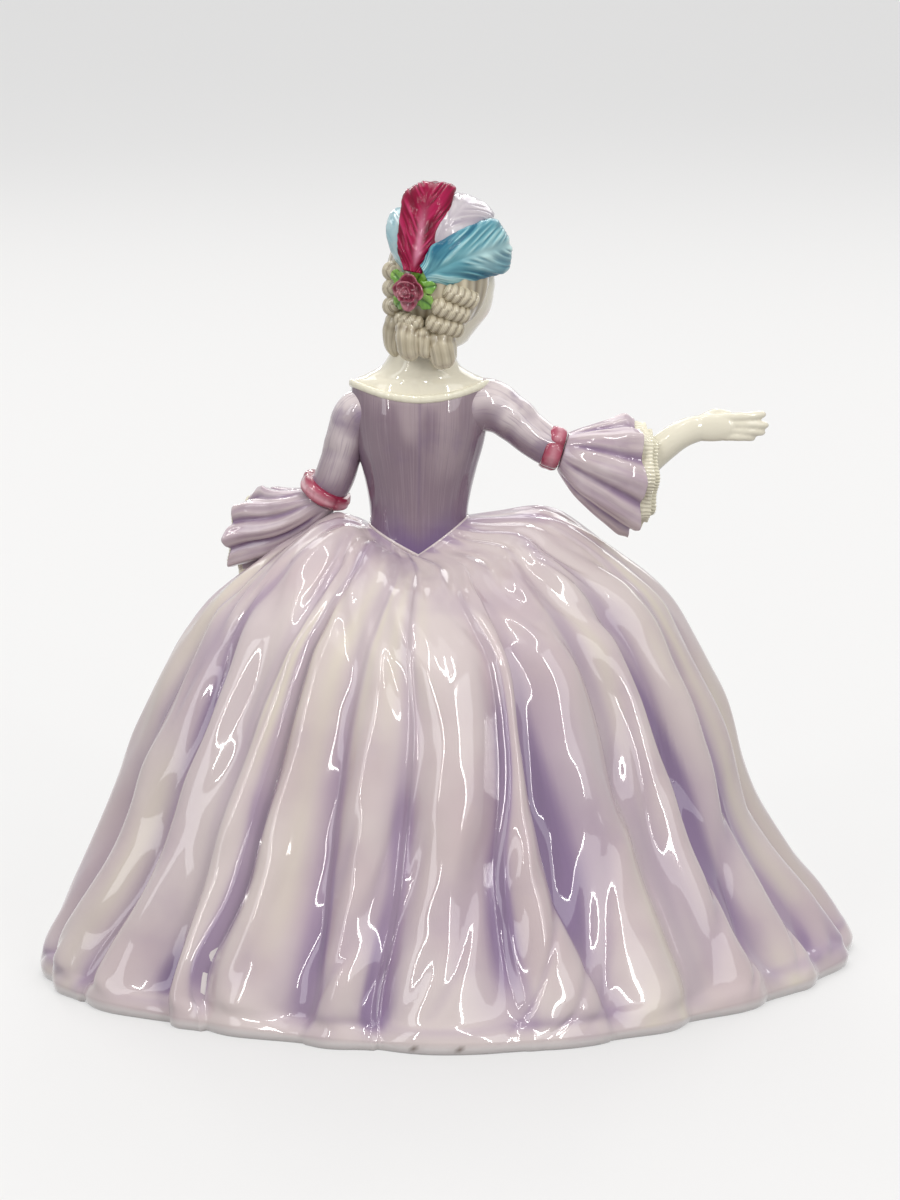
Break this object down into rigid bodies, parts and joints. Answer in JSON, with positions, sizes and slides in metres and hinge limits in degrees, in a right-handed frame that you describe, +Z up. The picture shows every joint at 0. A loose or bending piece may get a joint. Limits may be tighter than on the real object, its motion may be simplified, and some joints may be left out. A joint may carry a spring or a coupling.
{
  "type": "figurine",
  "caption": "Porcelain lady in a wide pleated crinoline, one arm held out, plumes and a rose in her dressed hair.",
  "frame": {"origin": "middle of the bounding box on the surface that the foot ring stands on", "axes": "+Z up through the head, -Y the way the skirt and bodice face, -X towards the outstretched right hand; the yaw of the skirt's oval to the box is 9.5 degrees"},
  "size_m": [0.2056, 0.1652, 0.1979],
  "materials": {
    "skirt_glaze": "gloss glaze",
    "bodice_glaze": "gloss glaze",
    "skin_glaze": "gloss glaze",
    "hair_glaze": "gloss glaze",
    "lace_glaze": "gloss glaze",
    "ribbon_enamel": "gloss enamel",
    "crimson_enamel": "gloss enamel",
    "turquoise_enamel": "gloss enamel",
    "lilac_enamel": "gloss enamel",
    "pale_blue_enamel": "gloss enamel",
    "rose_enamel": "gloss enamel",
    "leaf_enamel": "gloss enamel"
  },
  "bodies": {
    "root": {"skirt": "skirt_glaze", "bodice": "bodice_glaze", "shoulders": "skin_glaze", "neckline_frill": "lace_glaze", "head": "skin_glaze", "hair": "hair_glaze", "right_side_curl_1": "hair_glaze", "right_side_curl_2": "hair_glaze", "right_side_curl_3": "hair_glaze", "left_side_curl_1": "hair_glaze", "left_side_curl_2": "hair_glaze", "left_side_curl_3": "hair_glaze", "nape_curl_1": "hair_glaze", "nape_curl_2": "hair_glaze", "nape_curl_3": "hair_glaze", "rose_leaves": "leaf_enamel", "rose": "rose_enamel", "crimson_plume": "crimson_enamel", "turquoise_plume": "turquoise_enamel", "lilac_plume": "lilac_enamel", "pale_blue_plume": "pale_blue_enamel", "right_sleeve": "bodice_glaze", "right_ribbon": "ribbon_enamel", "right_flounce": "skirt_glaze", "right_lace_outer": "lace_glaze", "right_lace_inner": "lace_glaze", "right_forearm": "skin_glaze", "left_sleeve": "bodice_glaze", "left_ribbon": "ribbon_enamel", "left_flounce": "skirt_glaze", "left_lace_outer": "lace_glaze", "left_lace_inner": "lace_glaze", "left_forearm": "skin_glaze"}
  },
  "joints": []
}
